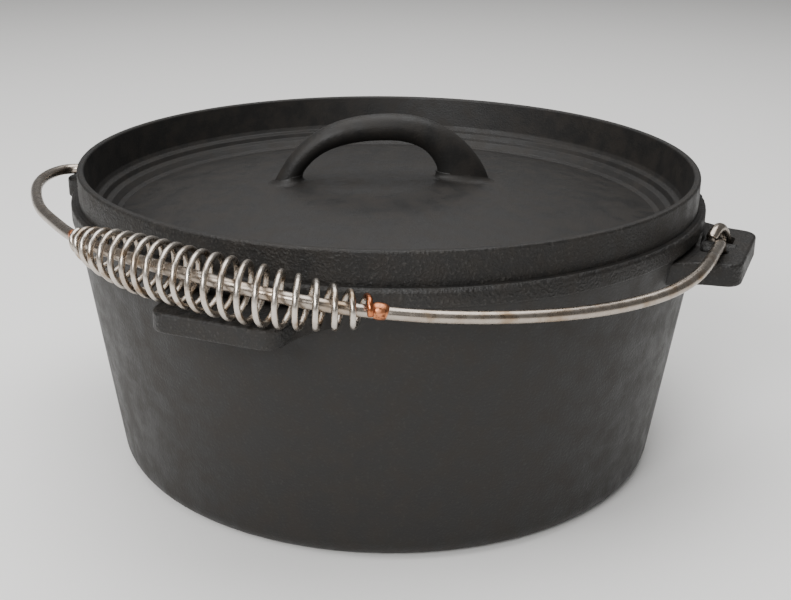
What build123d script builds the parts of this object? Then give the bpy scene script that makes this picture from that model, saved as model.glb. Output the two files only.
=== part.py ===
"""Cast iron dutch oven: pot, recessed domed lid, steel bail with a coil grip.

Millimetres, +Z up. The origin is the centre of the flat base the pot stands on.
The two pierced ears lie on the X axis and the bail rests folded toward -Y.
"""
from build123d import *

import math
import os

os.makedirs("parts", exist_ok=True)

# Overall size of the pot
pot_height = 131.4
band_radius = 153.6

# Rim band, the thicker ring round the mouth
band_height = 8.0
band_projection = 1.5
band_round = 1.6
rim_width = 5.2
mouth_depth = 6.5

# Pot wall, turned about Z
wall_taper = 17.25
wall_thickness = 5.0
floor_thickness = 5.5
base_corner = 10.0
inner_corner = 13.0
wall_radius_at_band = band_radius - band_projection
wall_radius_at_floor = wall_radius_at_band - wall_taper

# Tabs cast on the wall: two pierced ears and one plain rest lug
tab_drop = 9.9
ear_projection = 22.4
lug_projection = 23.4
shoulder_projection = 6.4
tab_root_half = 33.0
tab_shoulder_half = 29.5
tab_tip_half = 27.0
tab_corner = 7.5
tab_edge = 1.4
ear_thickness = 10.5
lug_thickness = 8.5
tab_top = pot_height - tab_drop

# Slot through each ear and the round bar cast across it
hinge_depth = 2.8
bar_radius = 3.5
bar_root_radius = 7.2
slot_gap = 1.6
slot_length = 12.6
slot_half = 14.0
slot_corner = 3.0
bar_root_gap = 0.6
hinge_height = tab_top - hinge_depth
slot_inner = band_radius + slot_gap
slot_outer = slot_inner + slot_length

# Bail wire: turn from -Y toward +X in degrees, gap from the band, rise over the tabs
bail_wire_diameter = 5.2
bail_knots = (
    (-81.7, 19.7, 4.6),
    (-78.7, 24.3, 5.3),
    (-73.4, 23.2, 6.4),
    (-57.0, 15.8, 9.4),
    (-48.3, 13.4, 10.7),
    (-39.5, 12.2, 12.4),
    (-29.1, 14.3, 14.4),
    (-19.8, 16.4, 15.8),
    (-11.9, 16.6, 15.7),
    (-3.8, 18.7, 15.6),
    (3.8, 21.4, 14.8),
    (11.0, 21.4, 12.2),
    (19.0, 17.4, 8.0),
    (28.0, 16.4, 5.3),
    (37.5, 16.4, 3.3),
    (46.9, 17.0, 1.7),
    (55.6, 18.0, 1.1),
    (62.3, 20.4, 2.5),
    (67.8, 20.4, 4.4),
    (73.1, 17.9, 5.9),
    (81.0, 12.6, 4.7),
)

# Eye at each end of the bail, nearly a full turn round the bar
eye_play = 3.8
eye_shank_inset = 9.0
eye_stub_inset = 3.1
eye_step_angle = 30
eye_turn_angle = 340
eye_radius = bar_radius + bail_wire_diameter / 2 + eye_play
eye_shank_reach = slot_inner + eye_shank_inset
eye_stub_reach = slot_inner + eye_stub_inset

# Shank from the bail down into the eye: distance out beyond the eye, rise over it
shank_knots = ((10.1, -2.5), (5.9, -2.7), (2.3, -4.2), (0.5, -7.2))

# Share of the shorter run that the arc at each knot takes up
run_share = 0.45

# Coil grip wound round the bail
grip_wire_diameter = 2.5
grip_start_turn = -26.3
grip_end_turn = 19.7
grip_turns = 21
grip_mean_radius = 10.9
grip_end_radius = 5.4
grip_gap = 0.15
grip_taper_turns = 8
grip_sag = 1.1
grip_points_per_turn = 8
grip_lean_start = 9.5
grip_lean_end = -2.5
grip_lean_fade = (0.55, 0.85)
grip_tail = ((21.08, 6.3), (21.16, 5.9), (21.24, 5.1))

# Braze that holds each end of the coil to the bail: drop radius, step to the second, turn
left_braze = (2.4, -1.9, -27.4)
right_braze = (2.5, 2.5, 22.0)
second_drop = 0.8
braze_lift = 1.5
braze_outward = 1.1

# Lid, turned about Z
lid_inset = 3.6
lid_rise = 14.3
lip_width = 3.2
lip_round = 1.2
spigot_gap = 0.8
lid_thickness = 4.6
inner_wall_draft = 2.6
inner_wall_foot = 1.8
upper_ledge_inset = 9.4
upper_ledge_drop = 4.8
lower_ledge_inset = 13.4
lower_ledge_drop = 8.0
plate_inset = 18.0
plate_drop = 11.4
dome_rise = 15.0
ledge_fall = 0.9
ledge_draft = 1.2
ledge_round = 0.9
foot_round = 1.8
lid_radius = band_radius - lid_inset
lid_lip_height = pot_height + lid_rise
dome_radius = lid_radius - plate_inset
dome_edge_height = pot_height - plate_drop
dome_height = dome_edge_height + dome_rise

# Arched handle cast on the lid: along, up from the dome's top, depth of the bar
handle_angle = 26.2
handle_width = 12.5
handle_stations = (
    (-51.8, -4.6, 12.6),
    (-47.4, 4.2, 10.3),
    (-38.0, 14.8, 10.4),
    (-25.6, 21.4, 11.8),
    (-13.5, 24.2, 12.7),
    (-2.0, 25.0, 13.1),
    (9.0, 24.2, 13.5),
    (19.6, 20.6, 14.6),
    (28.2, 14.0, 17.2),
    (34.0, 5.5, 21.5),
    (37.2, -4.6, 26.5),
)


def rounded(outline, corners):
    """Round the listed corners of a flat outline: radius, height, size of the round."""
    for radius, height, size in corners:
        target = Vector(radius, height)
        nearest = min(outline.vertices(), key=lambda v: (Vector(v.X, v.Y) - target).length)
        outline = fillet([nearest], size)
    return outline


def turned(outline):
    """Turn a radius-height outline about Z."""
    return revolve(Plane.XZ * outline, Axis.Z)


def pot_shell():
    """Solid outside of the pot and the hollow that is cut from it."""
    band_foot = pot_height - band_height
    outside = make_face(
        Polyline(
            (0, 0),
            (wall_radius_at_floor, 0),
            (wall_radius_at_band, band_foot),
            (band_radius, band_foot),
            (band_radius, pot_height),
            (0, pot_height),
            close=True,
        )
    )
    outside_corners = [
        (wall_radius_at_floor, 0, base_corner),
        (band_radius, band_foot, band_round / 2),
        (band_radius, pot_height, band_round),
    ]
    slope = wall_taper / band_foot
    mouth_radius = band_radius - rim_width
    mouth_foot = pot_height - mouth_depth
    neck_height = mouth_foot - wall_thickness / 2
    neck_radius = wall_radius_at_floor + slope * neck_height - wall_thickness
    floor_radius = wall_radius_at_floor + slope * floor_thickness - wall_thickness
    hollow = make_face(
        Polyline(
            (0, floor_thickness),
            (floor_radius, floor_thickness),
            (neck_radius, neck_height),
            (mouth_radius, mouth_foot),
            (mouth_radius, pot_height + band_height),
            (0, pot_height + band_height),
            close=True,
        )
    )
    hollow_corners = [(floor_radius, floor_thickness, inner_corner)]
    return turned(rounded(outside, outside_corners)), turned(rounded(hollow, hollow_corners))


def tab(projection, thickness):
    """Flat tab along +X with rounded corners and a root that widens to the wall."""
    root = band_radius - 2 * rim_width
    shoulder = band_radius + shoulder_projection
    reach = band_radius + projection
    outline = make_face(
        Polyline(
            (root, -tab_root_half - rim_width),
            (shoulder, -tab_shoulder_half),
            (reach, -tab_tip_half),
            (reach, tab_tip_half),
            (shoulder, tab_shoulder_half),
            (root, tab_root_half + rim_width),
            close=True,
        )
    )
    tips = outline.vertices().sort_by(Axis.X)[-2:]
    outline = fillet(tips, tab_corner)
    shoulders = outline.vertices().filter_by_position(Axis.X, shoulder - 0.1, shoulder + 0.1)
    outline = fillet(shoulders, 2 * tab_corner)
    plate = extrude(Pos(0, 0, tab_top - thickness) * outline, thickness)
    flat_edges = plate.edges().filter_by(Plane.XY)
    outer_edges = [e for e in flat_edges if e.center().X > root + 1]
    return fillet(outer_edges, tab_edge)


def ear_slot():
    """Upright slot through an ear, next to the wall."""
    middle = (slot_inner + slot_outer) / 2
    window = RectangleRounded(slot_length, 2 * slot_half, slot_corner)
    return extrude(Pos(middle, 0, tab_top - 2 * ear_thickness) * window, 3 * ear_thickness)


def round_bar(radius, start, end):
    """Round bar along +X at hinge height."""
    line = Plane(origin=(start, 0, hinge_height), z_dir=(1, 0, 0))
    return extrude(line * Circle(radius), end - start)


def make_pot():
    """Pot casting: wall, rim band, two ears with their bars, one rest lug."""
    outside, hollow = pot_shell()
    bar_inner_end = wall_radius_at_band - wall_thickness / 2
    bar_outer_end = slot_outer + bar_radius / 2
    bar = round_bar(bar_radius, bar_inner_end, bar_outer_end)
    bar_root = round_bar(bar_root_radius, bar_inner_end, slot_inner - bar_root_gap)
    body = outside + Rot(0, 0, -90) * tab(lug_projection, lug_thickness)
    for turn in (0, 180):
        body = body + Rot(0, 0, turn) * tab(ear_projection, ear_thickness)
    for turn in (0, 180):
        body = body - Rot(0, 0, turn) * ear_slot()
        body = body + Rot(0, 0, turn) * (bar + bar_root)
    return body - hollow


def dome_arc(drop):
    """Arc from the dome's edge to its top, lowered by a distance."""
    near_top = dome_edge_height + 0.75 * dome_rise - drop
    edge = (dome_radius, dome_edge_height - drop)
    return ThreePointArc(edge, (dome_radius / 2, near_top), (0, dome_height - drop))


def lid_plate():
    """Lid without its handle: outer band, two steps, domed plate, spigot."""
    spigot_radius = band_radius - rim_width - spigot_gap
    wall_foot = (lid_radius - lip_width - inner_wall_draft, pot_height - inner_wall_foot)
    upper = (lid_radius - upper_ledge_inset, pot_height - upper_ledge_drop)
    upper_foot = (wall_foot[0] - ledge_draft, upper[1] + ledge_fall)
    lower = (lid_radius - lower_ledge_inset, pot_height - lower_ledge_drop)
    lower_foot = (upper[0] - ledge_draft, lower[1] + ledge_fall)
    plate_foot = (lower[0] - 2 * ledge_draft, dome_edge_height + ledge_fall)
    lip = (lid_radius - lip_width, lid_lip_height)
    top = dome_arc(0)
    under = dome_arc(lid_thickness)
    rim = Polyline(
        top @ 0,
        plate_foot,
        lower,
        lower_foot,
        upper,
        upper_foot,
        wall_foot,
        lip,
        (lid_radius, lid_lip_height),
        (lid_radius, pot_height),
        (spigot_radius, pot_height),
        (spigot_radius, upper[1]),
        (upper[0] + lid_thickness - ledge_fall, lower[1] - ledge_fall),
        (upper[0], lower[1] - lid_thickness),
        (lower[0], dome_edge_height - lid_thickness + ledge_fall / 2),
        under @ 0,
    )
    outline = make_face([top, Line(top @ 1, under @ 1), under, rim])
    corners = [
        (*lip, lip_round),
        (lid_radius, lid_lip_height, lip_round),
        (*wall_foot, foot_round),
        (*upper_foot, foot_round),
        (*upper, ledge_round),
        (*lower_foot, ledge_round),
        (*lower, ledge_round),
        (*plate_foot, ledge_round),
    ]
    return turned(rounded(outline, corners))


def lid_handle():
    """Arched bar of oval section standing on the dome, cut level inside it."""
    centres = [Vector(along, 0, dome_height + up) for along, up, depth in handle_stations]
    ovals = []
    last = len(centres) - 1
    for index, (along, up, depth) in enumerate(handle_stations):
        heading = Vector(0, 0, 1) if index == 0 else Vector(0, 0, -1)
        if 0 < index < last:
            heading = centres[index + 1] - centres[index - 1]
        section = Plane(origin=centres[index], x_dir=(0, 1, 0), z_dir=heading)
        ovals.append(section * Ellipse(handle_width / 2, depth / 2))
    return loft(ovals)


def make_lid():
    """Lid casting with its handle turned to its place."""
    return lid_plate() + Rot(0, 0, handle_angle) * lid_handle()


def bail_point(turn, gap, rise):
    """Point of the bail: turn about Z, distance outside the band, height over the tabs."""
    angle = math.radians(turn)
    reach = band_radius + gap
    return Vector(reach * math.sin(angle), -reach * math.cos(angle), tab_top + rise)


def eye_points(side):
    """Knots of one eye, from the shank down round the bar to the cut end."""
    knots = []
    for out, up in shank_knots:
        knots.append(Vector(side * eye_shank_reach, -eye_radius - out, hinge_height + eye_radius + up))
    for angle in range(eye_step_angle // 2, eye_turn_angle + 1, eye_step_angle):
        turn = math.radians(angle)
        share = max(0.0, (angle - 180) / (eye_turn_angle - 180))
        reach = eye_shank_reach + (eye_stub_reach - eye_shank_reach) * share
        out = eye_radius * math.cos(turn)
        up = -eye_radius * math.sin(turn)
        knots.append(Vector(side * reach, -out, hinge_height + up))
    return knots


def arc_knots():
    """Knots of the bail between its two shanks."""
    return [bail_point(turn, gap, rise) for turn, gap, rise in bail_knots]


def rounded_path(knots):
    """Straight runs through knots, joined by arcs as large as the runs allow."""
    runs = [after - before for before, after in zip(knots, knots[1:])]
    radii = []
    for before, after in zip(runs, runs[1:]):
        half_turn = math.radians(before.get_angle(after)) / 2
        shorter = min(before.length, after.length)
        radii.append(run_share * shorter / math.tan(half_turn))
    return FilletPolyline(*knots, radius=radii)


def bail_knot_line():
    """Knots of the whole bail, from cut end to cut end."""
    return [*eye_points(-1)[::-1], *arc_knots(), *eye_points(1)]


def share_at(path, turn):
    """Share of the path's length at which it reaches a turn about Z."""
    low, high = 0.05, 0.95
    for step in range(40):
        middle = (low + high) / 2
        place = path.position_at(middle)
        if math.degrees(math.atan2(place.X, -place.Y)) < turn:
            low = middle
        else:
            high = middle
    return low


def across_bail(axis, share):
    """Centre, direction, outward and upright directions of the bail at a share."""
    centre = axis.position_at(share)
    along = axis.tangent_at(share)
    outward = along.cross(Vector(0, 0, 1)).normalized()
    return centre, along, outward, outward.cross(along)


def grip_radius(turn):
    """Radius of the coil's centre line after a number of turns."""
    touching = (bail_wire_diameter + grip_wire_diameter) / 2 + grip_gap
    at_end = touching if turn < grip_turns / 2 else grip_end_radius
    from_end = min(turn, grip_turns - turn)
    left = max(0.0, 1 - from_end / grip_taper_turns)
    return grip_mean_radius - (grip_mean_radius - at_end) * left * left


def grip_lean(share):
    """Lean of the coil's turns along the bail, as a slope."""
    start, end = grip_lean_fade
    fade = min(1.0, max(0.0, (share - start) / (end - start)))
    smooth = fade * fade * (3 - 2 * fade)
    angle = grip_lean_start + (grip_lean_end - grip_lean_start) * smooth
    return math.sin(math.radians(angle))


def grip_knot(axis, first, last, turn, radius):
    """Point of the coil after a number of turns, at a radius round the bail."""
    share = turn / grip_turns
    centre, along, outward, upright = across_bail(axis, first + (last - first) * share)
    angle = math.radians(90) - turn * 2 * math.pi
    sag = grip_sag * (radius - grip_end_radius) / (grip_mean_radius - grip_end_radius)
    knot_radius = radius / math.cos(math.pi / grip_points_per_turn)
    forward = knot_radius * math.cos(angle)
    lift = knot_radius * math.sin(angle) - max(0.0, sag)
    return centre + outward * forward + upright * lift + along * (forward * grip_lean(share))


def grip_knot_line():
    """Knots of a barrel-shaped helix round the bail, drawn in at both ends."""
    axis = Spline(*arc_knots())
    first = share_at(axis, grip_start_turn)
    last = share_at(axis, grip_end_turn)
    knots = []
    for index in range(grip_turns * grip_points_per_turn + 1):
        turn = index / grip_points_per_turn
        knots.append(grip_knot(axis, first, last, turn, grip_radius(turn)))
    for turn, radius in grip_tail:
        knots.append(grip_knot(axis, first, last, turn, radius))
    return knots


def wire(knots, diameter):
    """Round wire bent along a line of knots."""
    path = rounded_path(knots)
    section = Plane(origin=path @ 0, z_dir=path % 0) * Circle(diameter / 2)
    return sweep(section, path)


def braze_bead(radius, step, turn, bail):
    """Two drops of braze run together at one end of the coil, fitted to the bail."""
    axis = Spline(*arc_knots())
    centre, along, outward, upright = across_bail(axis, share_at(axis, turn))
    centre = centre + upright * braze_lift + outward * braze_outward
    blob = Pos(*centre) * Sphere(radius) + Pos(*(centre + along * step)) * Sphere(radius * second_drop)
    trimmed = blob - bail
    return trimmed.solids().sort_by(SortBy.VOLUME)[-1]


def write(node, shape):
    """Write one sub-part."""
    shape.label = node
    export_step(shape, "parts/" + node + ".step")
    print(node, shape.is_valid, round(shape.volume), len(shape.solids()))


bail = wire(bail_knot_line(), bail_wire_diameter)
coil = wire(grip_knot_line(), grip_wire_diameter)
write("pot", make_pot())
write("lid", make_lid())
write("bail_wire", bail)
write("grip_coil", coil)
write("braze_left", braze_bead(*left_braze, bail))
write("braze_right", braze_bead(*right_braze, bail))
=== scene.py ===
"""Looks of a seasoned cast iron dutch oven: finishes, wires, braze, floor, light, camera."""

import logging
import math
from dataclasses import dataclass, field
from enum import Enum

import bpy
import numpy as np
from mathutils import Matrix, Vector


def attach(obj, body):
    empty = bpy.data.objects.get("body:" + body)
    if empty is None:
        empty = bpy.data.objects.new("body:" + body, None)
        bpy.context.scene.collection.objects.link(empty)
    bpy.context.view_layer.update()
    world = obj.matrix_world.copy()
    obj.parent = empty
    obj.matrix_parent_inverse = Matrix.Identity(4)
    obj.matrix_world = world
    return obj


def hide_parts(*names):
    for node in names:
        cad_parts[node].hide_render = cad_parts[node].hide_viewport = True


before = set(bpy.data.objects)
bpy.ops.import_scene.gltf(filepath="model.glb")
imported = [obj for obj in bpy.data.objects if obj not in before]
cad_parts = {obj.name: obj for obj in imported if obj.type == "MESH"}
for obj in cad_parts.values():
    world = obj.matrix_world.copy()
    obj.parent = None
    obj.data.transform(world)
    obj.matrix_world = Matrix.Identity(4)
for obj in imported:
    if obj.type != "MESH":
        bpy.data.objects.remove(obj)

LOG = logging.getLogger("dutch_oven")
MM = 0.001

# Points along the bail: for placing what is wound round it, and for drawing its wire
AXIS_POINTS = 4000
WIRE_POINTS = 1100

# Steps round a thick wire and round the coil's thin one
WIRE_SIDES = 28
COIL_SIDES = 16


class Region(Enum):
    """Where a casting's skin changes from fine to coarse grain."""

    POT = "pot"
    LID = "lid"


def linear(hex_colour: str) -> tuple[float, float, float, float]:
    """Turn an sRGB hex colour into linear values for a shader.

    Args:
        hex_colour: Six hex digits with a leading #.

    Returns:
        Linear red, green, blue and an alpha of one.
    """
    raw = np.array([int(hex_colour[i : i + 2], 16) for i in (1, 3, 5)]) / 255.0
    low = raw / 12.92
    high = ((raw + 0.055) / 1.055) ** 2.4
    red, green, blue = np.where(raw <= 0.04045, low, high)
    return float(red), float(green), float(blue), 1.0


def add_node(
    tree: bpy.types.NodeTree,
    kind: str,
    settings: dict | None = None,
    inputs: dict | None = None,
) -> bpy.types.Node:
    """Add one shader node with its settings, values and links.

    Args:
        tree: Node tree that gets the node.
        kind: Blender's type name, such as "ShaderNodeMath".
        settings: Node properties by name.
        inputs: Socket names or numbers, each with a plain value or an output socket.

    Returns:
        The new node.
    """
    node = tree.nodes.new(kind)
    for name, value in (settings or {}).items():
        setattr(node, name, value)
    for key, value in (inputs or {}).items():
        socket = node.inputs[key]
        if isinstance(value, bpy.types.NodeSocket):
            tree.links.new(value, socket)
        else:
            socket.default_value = value
    return node


def blank_material(name: str) -> tuple[bpy.types.Material, bpy.types.NodeTree]:
    """Make a material with an empty node tree.

    Args:
        name: Name of the material.

    Returns:
        The material and its node tree.
    """
    material = bpy.data.materials.new(name)
    material.use_nodes = True
    material.node_tree.nodes.clear()
    return material, material.node_tree


def math_node(tree: bpy.types.NodeTree, operation: str, *values: object) -> bpy.types.NodeSocket:
    """Result of one math operation on sockets or numbers."""
    node = add_node(tree, "ShaderNodeMath", {"operation": operation}, dict(enumerate(values)))
    return node.outputs[0]


def ramp(
    tree: bpy.types.NodeTree,
    value: bpy.types.NodeSocket,
    start: float,
    end: float,
    low: float = 0.0,
    high: float = 1.0,
) -> bpy.types.NodeSocket:
    """Smooth step of a value from one level to another.

    Args:
        tree: Node tree.
        value: Socket that is read.
        start: Reading at which the result is low.
        end: Reading at which the result is high.
        low: Result at start.
        high: Result at end.

    Returns:
        Socket that goes smoothly from low to high.
    """
    node = add_node(
        tree,
        "ShaderNodeMapRange",
        {"interpolation_type": "SMOOTHSTEP"},
        {"Value": value, "From Min": start, "From Max": end, "To Min": low, "To Max": high},
    )
    return node.outputs["Result"]


def noise(
    tree: bpy.types.NodeTree,
    place: bpy.types.NodeSocket,
    size_mm: float,
    detail: float = 2.0,
    rough: float = 0.5,
) -> bpy.types.NodeSocket:
    """Noise whose lumps are about size_mm across.

    Args:
        tree: Node tree.
        place: Object coordinates in metres.
        size_mm: Size of one lump in millimetres.
        detail: Number of finer layers.
        rough: Strength of the finer layers.

    Returns:
        Socket with the noise value.
    """
    node = add_node(
        tree,
        "ShaderNodeTexNoise",
        inputs={"Vector": place, "Scale": 1.0 / (size_mm * MM), "Detail": detail, "Roughness": rough},
    )
    return node.outputs["Fac"]


def mix_colour(
    tree: bpy.types.NodeTree,
    factor: bpy.types.NodeSocket,
    first: object,
    second: object,
) -> bpy.types.NodeSocket:
    """Blend of two colours by a factor."""
    node = add_node(
        tree, "ShaderNodeMix", {"data_type": "RGBA"}, {"Factor": factor, 6: first, 7: second}
    )
    return node.outputs[2]


def bump(tree: bpy.types.NodeTree, height: bpy.types.NodeSocket) -> bpy.types.NodeSocket:
    """Normal of a surface raised by a height in metres."""
    node = add_node(
        tree, "ShaderNodeBump", inputs={"Strength": 1.0, "Distance": 1.0, "Height": height}
    )
    return node.outputs[0]


def finish_with(tree: bpy.types.NodeTree, inputs: dict) -> None:
    """End a material with one principled shader.

    Args:
        tree: Node tree of the material.
        inputs: Values or sockets for the shader, by socket name.
    """
    shader = add_node(tree, "ShaderNodeBsdfPrincipled", inputs=inputs)
    add_node(tree, "ShaderNodeOutputMaterial", inputs={"Surface": shader.outputs[0]})


@dataclass(frozen=True)
class SeasonedIron:
    """Sand-cast grey iron under baked-on oil: near-black, low sheen, pebbled grain.

    The pebbles come from the sand mould. They stay coarse where the casting is left as it
    came from the sand, and are finer where it was tumbled or ground.
    """

    region: Region
    skin: str = "#1d1c1b"
    skin_warm: str = "#23201d"
    dust: str = "#454340"
    pebble_mm: float = 1.15
    grain_mm: float = 0.75
    swell_mm: float = 26.0
    fine_depth_mm: float = 0.05
    coarse_depth_mm: float = 0.24
    roughness_low: float = 0.44
    roughness_high: float = 0.6
    swell_depth_mm: float = 0.25
    worn_share: float = 0.45
    specular: float = 0.3
    tone_levels: tuple[float, float] = (0.38, 0.66)
    worn_levels: tuple[float, float] = (0.56, 0.76)
    gloss_levels: tuple[float, float] = (0.3, 0.7)
    lid_band_mm: tuple[float, float] = (148.2, 149.4)
    pot_band_mm: tuple[float, float] = (150.5, 152.5)
    pot_band_foot_mm: tuple[float, float] = (122.4, 123.6)
    tabs_mm: tuple[float, float] = (155.0, 156.0)
    lid_fine_share: float = 0.12
    pot_fine_share: float = 0.35

    def edge(
        self,
        tree: bpy.types.NodeTree,
        value: bpy.types.NodeSocket,
        span_mm: tuple[float, float],
        low: float = 0.0,
    ) -> bpy.types.NodeSocket:
        """Mask that goes from low to one where a length crosses a span in millimetres."""
        start, end = span_mm
        return ramp(tree, value, start * MM, end * MM, low, 1.0)

    def coarse_mask(
        self, tree: bpy.types.NodeTree, place: bpy.types.NodeSocket
    ) -> bpy.types.NodeSocket:
        """One where the skin is coarse, zero where it is fine.

        Args:
            tree: Node tree.
            place: Object coordinates in metres.

        Returns:
            Socket with the mask.
        """
        parts = add_node(tree, "ShaderNodeSeparateXYZ", inputs={0: place})
        flat = add_node(
            tree, "ShaderNodeCombineXYZ", inputs={"X": parts.outputs["X"], "Y": parts.outputs["Y"]}
        )
        radius = add_node(
            tree, "ShaderNodeVectorMath", {"operation": "LENGTH"}, {0: flat.outputs[0]}
        ).outputs["Value"]
        if self.region is Region.LID:
            return self.edge(tree, radius, self.lid_band_mm, self.lid_fine_share)
        rim = self.edge(tree, parts.outputs["Z"], self.pot_band_foot_mm)
        outer = self.edge(tree, radius, self.pot_band_mm)
        tabs = self.edge(tree, radius, self.tabs_mm)
        band = math_node(tree, "MULTIPLY", rim, outer)
        coarse = math_node(tree, "MAXIMUM", band, tabs)
        return math_node(tree, "MAXIMUM", coarse, self.pot_fine_share)

    def material(self) -> bpy.types.Material:
        """Build the material.

        Returns:
            The finished material.
        """
        material, tree = blank_material(f"seasoned_iron_{self.region.value}")
        place = add_node(tree, "ShaderNodeTexCoord").outputs["Object"]
        coarse = self.coarse_mask(tree, place)
        pebbles = noise(tree, place, self.pebble_mm, 1.5, 0.45)
        grain = noise(tree, place, self.grain_mm, 2.0, 0.6)
        swell = noise(tree, place, self.swell_mm, 2.0, 0.5)
        patches = noise(tree, place, self.swell_mm / 2.6, 4.0, 0.62)
        tone = mix_colour(
            tree, ramp(tree, patches, *self.tone_levels), linear(self.skin), linear(self.skin_warm)
        )
        worn_most = math_node(tree, "MULTIPLY", coarse, self.worn_share)
        worn = math_node(tree, "MULTIPLY", ramp(tree, pebbles, *self.worn_levels), worn_most)
        colour = mix_colour(tree, worn, tone, linear(self.dust))
        coarse_depth = math_node(tree, "MULTIPLY", coarse, self.coarse_depth_mm * MM * 2)
        pebbled = math_node(tree, "MULTIPLY", pebbles, coarse_depth)
        grained = math_node(tree, "MULTIPLY", grain, self.fine_depth_mm * MM * 2)
        swelled = math_node(tree, "MULTIPLY", swell, self.swell_depth_mm * MM * 2)
        height = math_node(tree, "ADD", math_node(tree, "ADD", pebbled, grained), swelled)
        gloss = ramp(tree, patches, *self.gloss_levels, self.roughness_low, self.roughness_high)
        finish_with(
            tree,
            {
                "Base Color": colour,
                "Roughness": gloss,
                "Normal": bump(tree, height),
                "Metallic": 0.0,
                "Specular IOR Level": self.specular,
            },
        )
        return material


@dataclass(frozen=True)
class DrawnSteel:
    """Drawn steel wire, lightly polished, with faint straw and brown heat tints."""

    name: str
    clean: str = "#c9c3ba"
    tinted: str = "#8f7a63"
    stain: str = "#4a3a2d"
    tint_mm: float = 14.0
    scratch_mm: float = 0.5
    roughness_low: float = 0.24
    roughness_high: float = 0.34
    stain_share: float = 0.12
    copper: str = "#b9704a"
    copper_from_mm: float = 1e6
    copper_blend_mm: float = 2.0
    scratch_depth_mm: float = 0.0006
    scratch_stretch: float = 0.04

    def material(self) -> bpy.types.Material:
        """Build the material.

        Returns:
            The finished material.
        """
        material, tree = blank_material(self.name)
        place = add_node(tree, "ShaderNodeTexCoord").outputs["Object"]
        tint = noise(tree, place, self.tint_mm, 3.0, 0.6)
        stains = noise(tree, place, self.tint_mm / 3.5, 4.0, 0.65)
        wire = add_node(tree, "ShaderNodeUVMap", {"uv_map": "wire"}).outputs[0]
        drawn = add_node(
            tree,
            "ShaderNodeVectorMath",
            {"operation": "MULTIPLY"},
            {0: wire, 1: (self.scratch_stretch, 1.0, 1.0)},
        ).outputs[0]
        scratches = noise(tree, drawn, self.scratch_mm, 3.0, 0.7)
        warm = mix_colour(
            tree, ramp(tree, tint, 0.46, 0.72), linear(self.clean), linear(self.tinted)
        )
        stained = math_node(tree, "MULTIPLY", ramp(tree, stains, 0.56, 0.74), self.stain_share)
        steel = mix_colour(tree, stained, warm, linear(self.stain))
        length = add_node(tree, "ShaderNodeSeparateXYZ", inputs={0: wire}).outputs["X"]
        start = self.copper_from_mm * MM
        wetted = ramp(tree, length, start, start + self.copper_blend_mm * MM)
        colour = mix_colour(tree, wetted, steel, linear(self.copper))
        gloss = ramp(tree, stains, 0.35, 0.7, self.roughness_low, self.roughness_high)
        height = math_node(tree, "MULTIPLY", scratches, self.scratch_depth_mm * MM)
        finish_with(
            tree,
            {
                "Base Color": colour,
                "Roughness": gloss,
                "Normal": bump(tree, height),
                "Metallic": 1.0,
            },
        )
        return material


@dataclass(frozen=True)
class CopperBraze:
    """Copper-coloured braze as it froze: bright where it wetted, dark oxide round it."""

    name: str = "copper_braze"
    bright: str = "#c8825c"
    oxide: str = "#4b2a1b"
    patch_mm: float = 2.2
    ripple_depth_mm: float = 0.12
    roughness: float = 0.34

    def material(self) -> bpy.types.Material:
        """Build the material.

        Returns:
            The finished material.
        """
        material, tree = blank_material(self.name)
        place = add_node(tree, "ShaderNodeTexCoord").outputs["Object"]
        patches = noise(tree, place, self.patch_mm, 3.0, 0.6)
        colour = mix_colour(
            tree, ramp(tree, patches, 0.5, 0.7), linear(self.bright), linear(self.oxide)
        )
        ripples = noise(tree, place, self.patch_mm / 3.0, 2.0, 0.5)
        height = math_node(tree, "MULTIPLY", ripples, self.ripple_depth_mm * MM)
        finish_with(
            tree,
            {
                "Base Color": colour,
                "Roughness": self.roughness,
                "Normal": bump(tree, height),
                "Metallic": 1.0,
            },
        )
        return material


@dataclass(frozen=True)
class PaleGround:
    """Matt off-white paper for the floor."""

    name: str = "pale_ground"
    colour: str = "#f4f3f1"
    roughness: float = 0.9
    specular: float = 0.1

    def material(self) -> bpy.types.Material:
        """Build the material."""
        material, tree = blank_material(self.name)
        finish_with(
            tree,
            {
                "Base Color": linear(self.colour),
                "Roughness": self.roughness,
                "Specular IOR Level": self.specular,
            },
        )
        return material


def mesh_object(
    name: str, points: np.ndarray, faces: np.ndarray, material: bpy.types.Material
) -> bpy.types.Object:
    """Make a smooth-shaded object from arrays.

    Args:
        name: Name of the piece.
        points: Vertex positions, one row each, in metres.
        faces: Vertex numbers of each quad or triangle, one row each.
        material: Finish of the piece.

    Returns:
        The new object, linked to the scene.
    """
    mesh = bpy.data.meshes.new(name)
    mesh.from_pydata(points.tolist(), [], faces.tolist())
    mesh.polygons.foreach_set("use_smooth", np.ones(len(mesh.polygons), dtype=bool))
    mesh.materials.append(material)
    mesh.validate()
    mesh.update()
    piece = bpy.data.objects.new(name, mesh)
    bpy.context.scene.collection.objects.link(piece)
    return piece


def dress(node: str, material: bpy.types.Material) -> bpy.types.Object:
    """Give a CAD node a finish, and report it.

    Args:
        node: Name of the CAD node.
        material: Finish for every slot.

    Returns:
        The node's object.
    """
    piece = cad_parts[node]
    if not piece.data.materials:
        piece.data.materials.append(material)
    for place in piece.material_slots:
        place.material = material
    LOG.info("%s: %d faces, %s", node, len(piece.data.polygons), material.name)
    return piece


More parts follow.
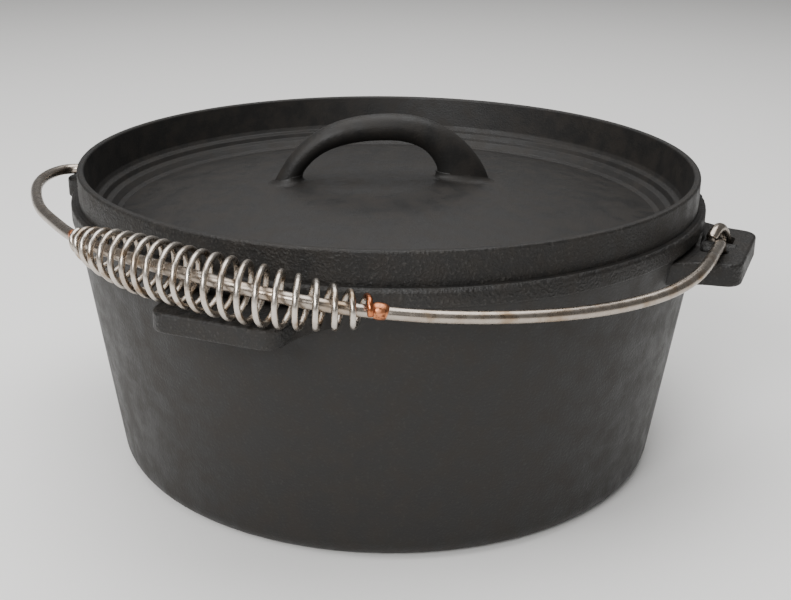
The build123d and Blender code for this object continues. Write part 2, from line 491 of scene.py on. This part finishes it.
def even_curve(knots: np.ndarray, count: int) -> tuple[np.ndarray, np.ndarray]:
    """Run a smooth curve through knots and place points evenly along it.

    The curve is the natural cubic spline over chord length: its second derivatives solve
    the usual three-band system, and each span is the cubic that those derivatives give.

    Args:
        knots: Points the curve passes, one row each.
        count: Number of points wanted.

    Returns:
        Points evenly spaced by length, and the unit direction at each.
    """
    chord = np.r_[0.0, np.cumsum(np.linalg.norm(np.diff(knots, axis=0), axis=1))]
    span = np.diff(chord)[:, None]
    rise = np.diff(knots, axis=0) / span
    inner = np.diag(2.0 * (span[:-1, 0] + span[1:, 0]))
    inner += np.diag(span[1:-1, 0], 1) + np.diag(span[1:-1, 0], -1)
    bend = np.zeros_like(knots)
    bend[1:-1] = np.linalg.solve(inner, 6.0 * np.diff(rise, axis=0))

    def at(place: np.ndarray) -> np.ndarray:
        """Points of the spline at distances along the chords."""
        cell = np.clip(np.searchsorted(chord, place) - 1, 0, len(span) - 1)
        width = span[cell]
        left = (chord[cell + 1] - place)[:, None]
        right = (place - chord[cell])[:, None]
        curve = (bend[cell] * left**3 + bend[cell + 1] * right**3) / (6.0 * width)
        curve += (knots[cell] / width - bend[cell] * width / 6.0) * left
        return curve + (knots[cell + 1] / width - bend[cell + 1] * width / 6.0) * right

    fine = np.linspace(0.0, chord[-1], 20 * count)
    length = np.r_[0.0, np.cumsum(np.linalg.norm(np.diff(at(fine), axis=0), axis=1))]
    points = at(np.interp(np.linspace(0.0, length[-1], count), length, fine))
    return points, unit(np.gradient(points, axis=0))


def unit(vectors: np.ndarray) -> np.ndarray:
    """Rows scaled to length one."""
    return vectors / np.linalg.norm(vectors, axis=-1, keepdims=True)


@dataclass(frozen=True)
class Surface:
    """A closed mesh as arrays, with places for its UV map."""

    points: np.ndarray
    quads: np.ndarray
    caps: np.ndarray
    places: np.ndarray

    def outward(self) -> "Surface":
        """The same surface with its faces turned so that they enclose a positive volume."""
        corners = self.points[self.quads]
        halves = np.concatenate([corners[:, [0, 1, 2]], corners[:, [0, 2, 3]], self.points[self.caps]])
        volume = np.einsum("ij,ij->", halves[:, 0], np.cross(halves[:, 1], halves[:, 2]))
        if volume > 0:
            return self
        return Surface(
            self.points, self.quads[:, ::-1], self.caps[:, ::-1], self.places[:, ::-1]
        )


def grid_cells(first: int, second: int) -> tuple[np.ndarray, np.ndarray]:
    """Rows and columns of the four corners of each cell in a grid, going round the cell.

    Args:
        first: Number of cells one way.
        second: Number of cells the other way.

    Returns:
        Row numbers and column numbers, four to a cell.
    """
    row, column = np.meshgrid(np.arange(first), np.arange(second), indexing="ij")
    rows = np.stack([row, row + 1, row + 1, row], -1).reshape(-1, 4)
    columns = np.stack([column, column, column + 1, column + 1], -1).reshape(-1, 4)
    return rows, columns


def tube(line: np.ndarray, side_hint: np.ndarray, radius: np.ndarray, sides: int) -> Surface:
    """Round tube along a line, closed by a flat cap at each end.

    Point (i, j) is line(i) + radius(i) * (cos(a) * up(i) + sin(a) * side(i)), where a is j
    equal steps round, and up and side are square to the line with up nearest side_hint.

    Args:
        line: Centre points, one row each.
        side_hint: A direction at each point, not along the line.
        radius: Tube radius at each point.
        sides: Number of steps round.

    Returns:
        The tube, with its length and its way round as UV places in metres.
    """
    along = unit(np.gradient(line, axis=0))
    side = unit(np.cross(along, side_hint))
    up = np.cross(side, along)
    turn = np.linspace(0.0, 2.0 * np.pi, sides, endpoint=False)[None, :, None]
    ring = np.cos(turn) * up[:, None] + np.sin(turn) * side[:, None]
    body = (line[:, None] + radius[:, None, None] * ring).reshape(-1, 3)
    count = len(line)
    rows, columns = grid_cells(count - 1, sides)
    quads = rows * sides + columns % sides
    length = np.r_[0.0, np.cumsum(np.linalg.norm(np.diff(line, axis=0), axis=1))]
    girth = 2.0 * np.pi * float(np.mean(radius)) / sides
    places = np.stack([length[rows], columns * girth], -1)
    start, end = len(body), len(body) + 1
    around = np.arange(sides)
    following = (around + 1) % sides
    last = (count - 1) * sides
    caps = np.concatenate(
        [
            np.stack([np.full(sides, start), around, following], -1),
            np.stack([np.full(sides, end), last + following, last + around], -1),
        ]
    )
    return Surface(np.vstack([body, line[:1], line[-1:]]), quads, caps, places).outward()


def ring_skin(grid: np.ndarray) -> Surface:
    """Close a grid of points both ways, as on a bent ring.

    Args:
        grid: Points by way round the ring and way round its section.

    Returns:
        The closed surface.
    """
    first, second = grid.shape[:2]
    rows, columns = grid_cells(first, second)
    quads = (rows % first) * second + columns % second
    places = np.stack([rows / first, columns / second], -1)
    return Surface(grid.reshape(-1, 3), quads, np.zeros((0, 3), int), places).outward()


def smooth_piece(name: str, skin: Surface, material: bpy.types.Material) -> bpy.types.Object:
    """Make a smooth-shaded object with a UV map from a surface.

    Args:
        name: Name of the piece.
        skin: The surface.
        material: Finish of the piece.

    Returns:
        The new object, linked to the scene.
    """
    mesh = bpy.data.meshes.new(name)
    mesh.from_pydata(skin.points.tolist(), [], skin.quads.tolist() + skin.caps.tolist())
    mesh.polygons.foreach_set("use_smooth", np.ones(len(mesh.polygons), dtype=bool))
    layer = mesh.uv_layers.new(name="wire")
    flat = np.concatenate([skin.places.reshape(-1, 2), np.zeros((3 * len(skin.caps), 2))])
    layer.data.foreach_set("uv", flat.ravel())
    mesh.materials.append(material)
    mesh.update()
    piece = bpy.data.objects.new(name, mesh)
    bpy.context.scene.collection.objects.link(piece)
    LOG.info("%s: %d faces, %s", name, len(mesh.polygons), material.name)
    return piece


@dataclass
class Bail:
    """Wire bail with an eye at each end and a coil grip wound round its middle.

    Sizes are millimetres and degrees, the same ones that the frame was made with. Only the
    second knot differs: it is a little further in, so that the smooth curve through it
    keeps inside the frame's own bent wire.
    """

    band_radius: float = 153.6
    tab_top: float = 121.5
    hinge_height: float = 118.7
    wire: float = 5.2
    shank_reach: float = 164.2
    stub_reach: float = 158.3
    eye_radius: float = 9.9
    eye_step: int = 30
    eye_end: int = 340
    shank: tuple = ((10.1, -2.5), (5.9, -2.7), (2.3, -4.2), (0.5, -7.2))
    knots: tuple = (
        (-81.7, 19.7, 4.6),
        (-78.7, 23.4, 5.3),
        (-73.4, 23.2, 6.4),
        (-57.0, 15.8, 9.4),
        (-48.3, 13.4, 10.7),
        (-39.5, 12.2, 12.4),
        (-29.1, 14.3, 14.4),
        (-19.8, 16.4, 15.8),
        (-11.9, 16.6, 15.7),
        (-3.8, 18.7, 15.6),
        (3.8, 21.4, 14.8),
        (11.0, 21.4, 12.2),
        (19.0, 17.4, 8.0),
        (28.0, 16.4, 5.3),
        (37.5, 16.4, 3.3),
        (46.9, 17.0, 1.7),
        (55.6, 18.0, 1.1),
        (62.3, 20.4, 2.5),
        (67.8, 20.4, 4.4),
        (73.1, 17.9, 5.9),
        (81.0, 12.6, 4.7),
    )
    coil_wire: float = 2.5
    coil_start: float = -26.3
    coil_end: float = 19.7
    coil_turns: int = 21
    coil_radius: float = 10.9
    coil_end_radius: float = 5.4
    coil_start_radius: float = 4.0
    coil_taper: float = 8.0
    coil_sag: float = 1.1
    lean_start: float = 9.5
    lean_end: float = -2.5
    lean_fade: tuple = (0.55, 0.85)
    tail: tuple = ((21.0, 5.4), (21.08, 6.3), (21.16, 5.9), (21.24, 5.1))
    steps_per_turn: int = 44
    level_reach: float = 150.0
    level_reach_fade: float = 12.0
    level_front: float = 34.0
    level_front_fade: float = 16.0
    point_spacing: float = 0.55
    end_round: float = 0.5
    end_round_length: float = 0.8
    wetted_length: float = 13.0
    braze_turns: tuple = (20.4, 22.3)
    braze_swell: float = 0.9
    braze_lift: float = 0.5
    braze_under: float = 0.1
    braze_points: int = 40

    def arc(self) -> np.ndarray:
        """Knots of the bail between its shanks, in millimetres."""
        turn, gap, rise = np.array(self.knots).T
        reach = self.band_radius + gap
        angle = np.radians(turn)
        return np.stack([reach * np.sin(angle), -reach * np.cos(angle), self.tab_top + rise], -1)

    def eye(self, side: int) -> np.ndarray:
        """Knots of one shank and eye, from the bail to the cut end.

        Args:
            side: Minus one for the left eye, one for the right.

        Returns:
            Knots in millimetres.
        """
        out, up = np.array(self.shank).T
        shank = np.stack(
            [
                np.full(len(out), side * self.shank_reach),
                -self.eye_radius - out,
                self.hinge_height + self.eye_radius + up,
            ],
            -1,
        )
        angle = np.arange(self.eye_step // 2, self.eye_end + 1, self.eye_step)
        share = np.clip((angle - 180) / (self.eye_end - 180), 0.0, None)
        reach = self.shank_reach + (self.stub_reach - self.shank_reach) * share
        turn = np.radians(angle)
        loop = np.stack(
            [
                side * reach,
                -self.eye_radius * np.cos(turn),
                self.hinge_height - self.eye_radius * np.sin(turn),
            ],
            -1,
        )
        return np.vstack([shank, loop])

    def axis_between(
        self, turns: tuple[float, float], share: np.ndarray
    ) -> tuple[np.ndarray, np.ndarray]:
        """Places on the bail between two turns about Z.

        Args:
            turns: Turns in degrees, from -Y toward +X, at shares zero and one.
            share: Shares of the way.

        Returns:
            The point at each share, in millimetres, and the unit direction there.
        """
        axis, heading = even_curve(self.arc(), AXIS_POINTS)
        number = np.arange(float(AXIS_POINTS))
        around = np.degrees(np.arctan2(axis[:, 0], -axis[:, 1]))
        first, last = np.interp(turns, around, number)
        place = first + (last - first) * share
        centre = np.stack([np.interp(place, number, axis[:, k]) for k in range(3)], -1)
        along = np.stack([np.interp(place, number, heading[:, k]) for k in range(3)], -1)
        return centre, unit(along)

    def wire_skin(self) -> Surface:
        """Tube of the bail's wire, with slightly rounded cut ends.

        The direction that counts as up turns from vertical to level where the wire comes
        down into an eye, so that it never lies along the wire.

        Returns:
            The surface in metres.
        """
        knots = np.vstack([self.eye(-1)[::-1], self.arc(), self.eye(1)])
        line, _ = even_curve(knots, WIRE_POINTS)
        outer = np.clip((np.abs(line[:, 0]) - self.level_reach) / self.level_reach_fade, 0.0, 1.0)
        level = outer * np.clip((line[:, 1] + self.level_front) / self.level_front_fade, 0.0, 1.0)
        hint = np.stack([level, np.zeros_like(level), 1.0 - level], -1)
        step = np.arange(WIRE_POINTS)
        from_end = np.minimum(step, step[::-1]) * self.point_spacing
        rounding = np.clip(1.0 - from_end / self.end_round_length, 0.0, 1.0) ** 2
        radius = self.wire / 2 - self.end_round * rounding
        return tube(line * MM, hint, radius * MM, WIRE_SIDES)

    def coil_skin(self) -> Surface:
        """Tube of the coil: a barrel-shaped helix that leans and sags on the bail.

        At turn t the centre line is the bail's point there, plus the coil radius times
        cos(a) outward and sin(a) upward with a = 90 degrees - 360 t, less the sag.

        Returns:
            The surface in metres.
        """
        end = self.tail[-1][0]
        turn = np.linspace(0.0, end, int(end * self.steps_per_turn))
        share = turn / self.coil_turns
        centre, along = self.axis_between((self.coil_start, self.coil_end), share)
        outward = unit(np.cross(along, np.array([0.0, 0.0, 1.0])))
        upward = np.cross(outward, along)
        end_radius = np.where(share < 0.5, self.coil_start_radius, self.coil_end_radius)
        left = np.clip(1.0 - np.minimum(turn, self.coil_turns - turn) / self.coil_taper, 0.0, 1.0)
        radius = self.coil_radius - (self.coil_radius - end_radius) * left**2
        tail_turn, tail_radius = np.array(self.tail).T
        radius = np.where(turn > tail_turn[0], np.interp(turn, tail_turn, tail_radius), radius)
        swell = (radius - self.coil_end_radius) / (self.coil_radius - self.coil_end_radius)
        sag = self.coil_sag * np.clip(swell, 0.0, None)
        fade_start, fade_end = self.lean_fade
        fade = np.clip((share - fade_start) / (fade_end - fade_start), 0, 1)
        fade = fade * fade * (3.0 - 2.0 * fade)
        lean = np.sin(np.radians(self.lean_start + (self.lean_end - self.lean_start) * fade))
        angle = np.pi / 2 - turn * 2 * np.pi
        forward = (radius * np.cos(angle))[:, None]
        lift = (radius * np.sin(angle) - sag)[:, None]
        line = centre + outward * forward + upward * lift + along * forward * lean[:, None]
        hint = outward * np.cos(angle)[:, None] + upward * np.sin(angle)[:, None]
        size = np.full(len(turn), self.coil_wire / 2)
        return tube(line * MM, hint, size * MM, COIL_SIDES)

    def braze_skin(self) -> Surface:
        """Drop of braze that ran along the wire from the coil's right end.

        Its radius is the wire's, less a little so that its ends close inside the wire, plus
        the swell times the square root of the sine of half a turn from end to end.

        Returns:
            The surface in metres.
        """
        share = np.linspace(0.0, 1.0, self.braze_points)
        line, _ = self.axis_between(self.braze_turns, share)
        rise = np.clip(np.sin(share * np.pi), 0.0, 1.0)
        line[:, 2] += self.braze_lift * rise
        radius = self.wire / 2 - self.braze_under + self.braze_swell * np.sqrt(rise)
        hint = np.tile([0.0, 0.0, 1.0], (self.braze_points, 1))
        return tube(line * MM, hint, radius * MM, WIRE_SIDES)

    def build(self) -> None:
        """Make the wire, the coil and the right drop of braze, and dress the left one."""
        steel = DrawnSteel("bail_steel", clean="#aca297").material()
        wire = smooth_piece("bail_wire_drawn", self.wire_skin(), steel)
        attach(wire, "bail")
        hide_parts("bail_wire")
        skin = self.coil_skin()
        wetted_from = float(skin.places[..., 0].max()) / MM - self.wetted_length
        bright = DrawnSteel(
            "coil_steel", clean="#c8c0b6", tint_mm=9.0, copper_from_mm=wetted_from
        ).material()
        coil = smooth_piece("grip_coil_drawn", skin, bright)
        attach(coil, "bail")
        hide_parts("grip_coil")
        braze = CopperBraze().material()
        dress("braze_left", braze)
        drop = smooth_piece("braze_right_drawn", self.braze_skin(), braze)
        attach(drop, "bail")
        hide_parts("braze_right")


@dataclass(frozen=True)
class HandleFoot:
    """Concave fillet of cast metal between one foot of the lid's handle and the dome."""

    name: str
    along: float
    half_along: float
    half_across: float
    lean: float
    fillet: float = 3.6
    handle_angle: float = 26.2
    dome_top: float = 135.0
    dome_sphere: float = 588.0
    steps_round: int = 96
    steps_up: int = 12
    bury_inside: float = 1.2
    bury_under: float = 1.0
    skirt_out: float = 0.6
    skirt_down: float = 0.25

    def skin(self) -> Surface:
        """Surface of the fillet.

        Round the foot, the section is a quarter circle that is tangent to the dome outside
        and to the handle inside, closed by a return path buried in the metal.

        Returns:
            The surface in metres.
        """
        way = np.linspace(0.0, 2.0 * np.pi, self.steps_round, endpoint=False)[:, None]
        quarter = np.linspace(0.0, np.pi / 2, self.steps_up)
        buried = -self.bury_inside
        under = -self.bury_under
        out = np.r_[self.fillet * (1.0 - np.sin(quarter)), buried, buried, self.fillet]
        up = np.r_[self.fillet * (1.0 - np.cos(quarter)), self.fillet, under, under]
        out[0] += self.skirt_out
        up[0] -= self.skirt_down
        x = self.along + self.lean * up + (self.half_along + out) * np.cos(way)
        y = (self.half_across + out) * np.sin(way)
        drop = (x**2 + y**2) / (2.0 * self.dome_sphere)
        z = self.dome_top - drop + up
        turn = np.radians(self.handle_angle)
        turned_x = x * np.cos(turn) - y * np.sin(turn)
        turned_y = x * np.sin(turn) + y * np.cos(turn)
        grid = np.stack([turned_x, turned_y, z], -1)
        return ring_skin(grid * MM)

    def build(self, material: bpy.types.Material) -> None:
        """Add the fillet to the lid."""
        piece = smooth_piece(self.name, self.skin(), material)
        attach(piece, "lid")


@dataclass
class Castings:
    """The pot and the lid as cast, and the fillets at the feet of the lid's handle."""

    feet: tuple = (
        HandleFoot("handle_foot_left", -50.4, 6.2, 6.2, 0.5),
        HandleFoot("handle_foot_right", 36.6, 12.6, 6.2, -0.32),
    )

    def build(self) -> None:
        """Dress the castings and add the fillets."""
        dress("pot", SeasonedIron(Region.POT).material())
        lid_iron = SeasonedIron(Region.LID).material()
        dress("lid", lid_iron)
        for foot in self.feet:
            foot.build(lid_iron)


@dataclass
class Studio:
    """Floor, light and camera."""

    azimuth: float = 22.0
    elevation: float = 20.56
    distance: float = 0.6358
    roll: float = 0.755
    lens: float = 56.24
    target: tuple[float, float, float] = (0.00356, 0.00144, 0.0697)
    floor_size: float = 6.0
    surround_strength: float = 0.2
    lights: tuple = field(
        default_factory=lambda: (
            ("overhead_softbox", (200.0, 84.0), 1.5, (1.6, 1.6), 30.0),
            ("left_softbox", (-35.0, 42.0), 1.6, (0.8, 0.6), 9.0),
            ("back_strip", (205.0, 34.0), 1.9, (1.2, 0.3), 1.5),
            ("front_fill", (2.0, 30.0), 2.0, (0.9, 0.6), 30.0),
        )
    )

    def direction(self, azimuth: float, elevation: float) -> Vector:
        """Unit vector from the object toward an azimuth and elevation in degrees."""
        turn = math.radians(azimuth)
        lift = math.radians(elevation)
        return Vector(
            (
                math.sin(turn) * math.cos(lift),
                -math.cos(turn) * math.cos(lift),
                math.sin(lift),
            )
        )

    def floor(self) -> None:
        """Lay a wide flat sheet under the object."""
        half = self.floor_size / 2
        corners = np.array([[-half, -half, 0], [half, -half, 0], [half, half, 0], [-half, half, 0]])
        sheet = mesh_object(
            "floor", corners.astype(float), np.array([[0, 1, 2, 3]]), PaleGround().material()
        )

    def light(self) -> None:
        """Hang the softboxes and set an even pale surround."""
        for name, (azimuth, elevation), reach, (width, height), power in self.lights:
            lamp = bpy.data.lights.new(name, "AREA")
            lamp.shape = "RECTANGLE"
            lamp.size = width
            lamp.size_y = height
            lamp.energy = power
            holder = bpy.data.objects.new(name, lamp)
            bpy.context.scene.collection.objects.link(holder)
            toward = self.direction(azimuth, elevation)
            holder.location = Vector(self.target) + toward * reach
            holder.rotation_euler = (-toward).to_track_quat("-Z", "Y").to_euler()
        world = bpy.data.worlds.new("surround")
        world.use_nodes = True
        sky = world.node_tree.nodes["Background"]
        sky.inputs["Color"].default_value = linear("#ffffff")
        sky.inputs["Strength"].default_value = self.surround_strength
        bpy.context.scene.world = world

    def camera(self) -> None:
        """Stand the camera off at its angle, with its small roll."""
        data = bpy.data.cameras.new("camera")
        data.lens = self.lens
        data.sensor_width = 36.0
        data.sensor_fit = "HORIZONTAL"
        data.clip_start = 0.01
        data.clip_end = 50.0
        holder = bpy.data.objects.new("camera", data)
        bpy.context.scene.collection.objects.link(holder)
        back = self.direction(self.azimuth, self.elevation)
        right = Vector((0, 0, 1)).cross(back).normalized()
        up = back.cross(right)
        tip = math.radians(self.roll)
        right_rolled = right * math.cos(tip) + up * math.sin(tip)
        up_rolled = up * math.cos(tip) - right * math.sin(tip)
        turn = Matrix((right_rolled, up_rolled, back)).transposed().to_4x4()
        holder.matrix_world = Matrix.Translation(Vector(self.target) + back * self.distance) @ turn
        bpy.context.scene.camera = holder

    def build(self) -> None:
        """Set up the whole studio."""
        self.floor()
        self.light()
        self.camera()


def main() -> None:
    """Dress the object and set up the studio."""
    logging.basicConfig(level=logging.INFO, format="%(message)s")
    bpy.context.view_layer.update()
    Castings().build()
    Bail().build()
    Studio().build()


if __name__ == "__main__":
    main()
